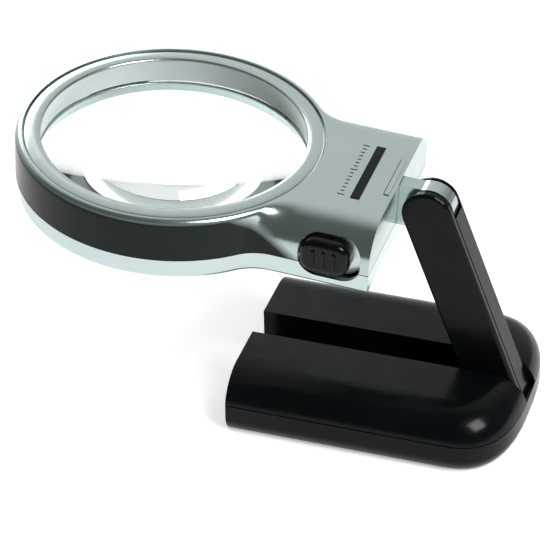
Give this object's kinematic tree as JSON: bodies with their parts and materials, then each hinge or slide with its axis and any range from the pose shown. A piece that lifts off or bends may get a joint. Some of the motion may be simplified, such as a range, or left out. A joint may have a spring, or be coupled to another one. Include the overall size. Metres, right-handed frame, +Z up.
{
  "type": "magnifier",
  "caption": "Folding stand magnifier: large round lens in a gloss silver ring head with a neck and slide switch, on a forked black arm hinged in a slotted black base.",
  "frame": {"origin": "on the surface the base stands on, straight below the lower hinge pin", "axes": "-X from the base towards the lens, +X towards the closed end of the base, +Z up; both hinge axes run along Y"},
  "size_m": [0.1755, 0.104, 0.0954],
  "materials": {
    "silver_paint": "silver paint, high gloss",
    "silver_inner": "silver, mirror-like gloss",
    "black_plastic": "satin gloss moulding",
    "black_gloss": "polished",
    "pale_plastic": "pale grey, satin",
    "lens_acrylic": "clear polished acrylic",
    "rubber": "matt",
    "steel": "plated",
    "brass": "bright",
    "cell_wrap": "plain blue wrap over the steel can",
    "board_green": "board lacquer",
    "led_clear": "clear",
    "ink_black": "printed ink"
  },
  "bodies": {
    "base": {"base_tray": "black_plastic", "base_cover_near": "black_plastic", "base_cover_far": "black_plastic", "base_pad_1": "rubber", "base_pad_2": "rubber", "base_pad_3": "rubber", "base_pad_4": "rubber", "base_screw_1": "steel", "base_screw_2": "steel", "base_screw_3": "steel", "base_screw_4": "steel", "base_weight_near": "steel", "base_weight_far": "steel", "lower_hinge_pin": "steel", "lower_pin_clip_near": "steel", "lower_pin_clip_far": "steel"},
    "arm": {"arm_channel": "black_plastic", "arm_side_plate": "black_plastic", "arm_screw_1": "steel", "arm_screw_2": "steel", "arm_screw_3": "steel", "lower_friction_bush": "brass"},
    "upper_pin": {"upper_hinge_pin": "steel", "friction_washer_near": "steel", "friction_washer_far": "steel"},
    "head": {"battery_cradle": "black_plastic", "head_upper_shell": "silver_paint", "head_lower_shell": "silver_paint", "hinge_lug": "silver_paint", "lens_bezel": "silver_inner", "lens": "lens_acrylic", "switch_surround": "pale_plastic", "switch_body": "steel", "battery_spring_outer": "steel", "battery_spring_inner": "steel", "battery_contact_outer": "brass", "battery_contact_inner": "brass", "battery_outer": "cell_wrap", "battery_inner": "cell_wrap", "circuit_board": "board_green", "led_near": "led_clear", "led_far": "led_clear", "label_bar": "ink_black", "head_screw_1": "steel", "head_screw_2": "steel", "head_screw_3": "steel", "head_screw_4": "steel"},
    "switch_knob": {"switch_knob": "black_gloss"},
    "battery_door": {"battery_door": "silver_paint"}
  },
  "joints": [
    {"name": "arm_fold", "type": "hinge", "parent": "base", "child": "arm", "pos_m": [0, 0, 0.0062], "axis": [0, -1, 0], "range_deg": [-9, 69.9]},
    {"name": "pin_turn", "type": "hinge", "parent": "arm", "child": "upper_pin", "pos_m": [-0.02179, 0, 0.07767], "axis": [0, -1, 0], "range_deg": [-77.2, 10.1]},
    {"name": "head_tilt", "type": "hinge", "parent": "upper_pin", "child": "head", "pos_m": [-0.02179, 0, 0.07767], "axis": [0, -1, 0], "range_deg": [-10, 15]},
    {"name": "switch_slide", "type": "slide", "parent": "head", "child": "switch_knob", "axis": [0.9977, 0, -0.068], "range_m": [0, 0.003]},
    {"name": "door_lift", "type": "slide", "parent": "head", "child": "battery_door", "axis": [-0.068, 0, -0.9977], "range_m": [0, 0.012]}
  ],
  "couplings": [
    {"joint": "pin_turn", "follows": "arm_fold", "ratio": -1.1016}
  ]
}
